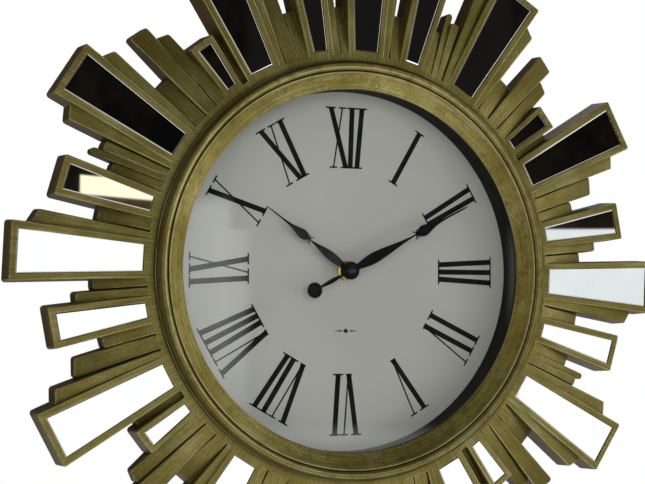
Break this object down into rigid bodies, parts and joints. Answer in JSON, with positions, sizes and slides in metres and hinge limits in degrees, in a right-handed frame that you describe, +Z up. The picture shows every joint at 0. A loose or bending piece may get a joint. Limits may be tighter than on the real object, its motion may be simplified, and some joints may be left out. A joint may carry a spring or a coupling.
{
  "type": "wall clock",
  "caption": "Round wall clock with Roman numerals in a gold sunburst frame of stepped bars and tapered bevelled mirrors, glass front, quartz movement and keyhole hanger.",
  "frame": {"origin": "centre of the keyhole in the hanger plate, on the plate's rear face, where the wall nail holds the clock; the hand axis is 94 mm below it and the wall plane is 3 mm behind it", "axes": "+Z up, +X to the right as the clock is read, +Y from the dial into the wall; the dial faces -Y and all hands and wheels turn about +Y"},
  "size_m": [0.4994, 0.0525, 0.4994],
  "materials": {
    "gold_moulding": "brushed antique gold paint over moulded polystyrene, darker in the corners",
    "gold_bezel": "brushed antique gold paint, turned along the ring",
    "clear_glass": "flat clear glass",
    "black_well": "matt black moulding",
    "grey_dial": "pale warm grey printed dial sheet, satin",
    "black_housing": "black moulded plastic, fine texture",
    "zinc_screw": "zinc-plated steel",
    "zinc_plate": "zinc-plated pressed steel",
    "black_case": "black moulded plastic",
    "white_plastic": "natural white acetal",
    "brass_part": "turned brass",
    "black_rubber": "soft rubber",
    "steel_arbor": "turned steel",
    "grey_knob": "grey moulded plastic",
    "magnet_rotor": "sintered magnet on a plastic pinion",
    "soft_iron": "soft-iron sheet",
    "copper_coil": "enamelled copper wire on a bobbin",
    "green_board": "green solder mask",
    "crystal_can": "nickel-plated can",
    "cell_sleeve": "plain dark shrink sleeve with a bright stud",
    "plated_spring": "nickel-plated spring steel",
    "black_hand": "black satin enamel on stamped aluminium",
    "black_nut": "black enamelled, domed and polished",
    "mirror_glass": "silvered mirror with a ground bevel"
  },
  "bodies": {
    "clock": {"sunburst_frame": "gold_moulding", "bezel_ring": "gold_bezel", "glass_lens": "clear_glass", "well_ring": "black_well", "dial_plate": "grey_dial", "rear_housing": "black_housing", "housing_screws": "zinc_screw", "hanger_plate": "zinc_plate", "hanger_screws": "zinc_screw", "movement_case": "black_case", "movement_cover": "black_case", "middle_plate": "white_plastic", "threaded_bushing": "brass_part", "rubber_gasket": "black_rubber", "brass_washer": "brass_part", "hex_nut": "brass_part", "stator": "soft_iron", "coil": "copper_coil", "circuit_board": "green_board", "quartz_crystal": "crystal_can", "contact_negative": "plated_spring", "contact_positive": "plated_spring", "mirror_large_01": "mirror_glass", "mirror_large_02": "mirror_glass", "mirror_large_03": "mirror_glass", "mirror_large_04": "mirror_glass", "mirror_large_05": "mirror_glass", "mirror_large_06": "mirror_glass", "mirror_large_07": "mirror_glass", "mirror_large_08": "mirror_glass", "mirror_large_09": "mirror_glass", "mirror_large_10": "mirror_glass", "mirror_large_11": "mirror_glass", "mirror_large_12": "mirror_glass", "mirror_medium_01": "mirror_glass", "mirror_medium_02": "mirror_glass", "mirror_medium_03": "mirror_glass", "mirror_medium_04": "mirror_glass", "mirror_medium_05": "mirror_glass", "mirror_medium_06": "mirror_glass", "mirror_medium_07": "mirror_glass", "mirror_medium_08": "mirror_glass", "mirror_small_01": "mirror_glass", "mirror_small_02": "mirror_glass", "mirror_small_03": "mirror_glass", "mirror_small_04": "mirror_glass"},
    "minute_group": {"minute_hand": "black_hand", "minute_arbor": "steel_arbor", "cap_nut": "black_nut"},
    "hour_group": {"hour_hand": "black_hand", "hour_wheel": "white_plastic"},
    "motion_wheel": {"motion_wheel": "white_plastic"},
    "setting_knob": {"setting_knob": "grey_knob"},
    "centre_wheel": {"centre_wheel": "white_plastic"},
    "third_wheel": {"third_wheel": "white_plastic"},
    "fourth_wheel": {"fourth_wheel": "white_plastic"},
    "fifth_wheel": {"fifth_wheel": "white_plastic"},
    "rotor": {"rotor": "magnet_rotor"},
    "battery": {"battery": "cell_sleeve"}
  },
  "joints": [
    {"name": "minute_spin", "type": "hinge", "parent": "clock", "child": "minute_group", "pos_m": [0, 0.003, -0.094], "axis": [0, 1, 0], "continuous": true},
    {"name": "hour_spin", "type": "hinge", "parent": "clock", "child": "hour_group", "pos_m": [0, 0.003, -0.094], "axis": [0, 1, 0], "continuous": true},
    {"name": "motion_spin", "type": "hinge", "parent": "clock", "child": "motion_wheel", "pos_m": [-0.00208, 0.003, -0.08218], "axis": [0, 1, 0], "continuous": true},
    {"name": "knob_spin", "type": "hinge", "parent": "clock", "child": "setting_knob", "pos_m": [-0.01336, 0.003, -0.08629], "axis": [0, 1, 0], "continuous": true},
    {"name": "fourth_spin", "type": "hinge", "parent": "clock", "child": "fourth_wheel", "pos_m": [0.00939, 0.003, -0.07989], "axis": [0, 1, 0], "continuous": true},
    {"name": "third_spin", "type": "hinge", "parent": "clock", "child": "third_wheel", "pos_m": [0.01116, 0.003, -0.08994], "axis": [0, 1, 0], "continuous": true},
    {"name": "centre_spin", "type": "hinge", "parent": "clock", "child": "centre_wheel", "pos_m": [0, 0.003, -0.094], "axis": [0, 1, 0], "continuous": true},
    {"name": "fifth_spin", "type": "hinge", "parent": "clock", "child": "fifth_wheel", "pos_m": [0.00053, 0.003, -0.08145], "axis": [0, 1, 0], "continuous": true},
    {"name": "rotor_spin", "type": "hinge", "parent": "clock", "child": "rotor", "pos_m": [-0.00636, 0.003, -0.08267], "axis": [0, 1, 0], "continuous": true},
    {"name": "battery_slide", "type": "slide", "parent": "clock", "child": "battery", "axis": [0, 1, 0], "range_m": [0, 0.022]}
  ],
  "couplings": [
    {"joint": "hour_spin", "follows": "minute_spin", "ratio": 0.083333},
    {"joint": "motion_spin", "follows": "minute_spin", "ratio": -0.33333},
    {"joint": "knob_spin", "follows": "minute_spin", "ratio": 1},
    {"joint": "third_spin", "follows": "fourth_spin", "ratio": -0.13333},
    {"joint": "centre_spin", "follows": "fourth_spin", "ratio": 0.016667},
    {"joint": "fifth_spin", "follows": "fourth_spin", "ratio": -5},
    {"joint": "rotor_spin", "follows": "fourth_spin", "ratio": 30}
  ]
}
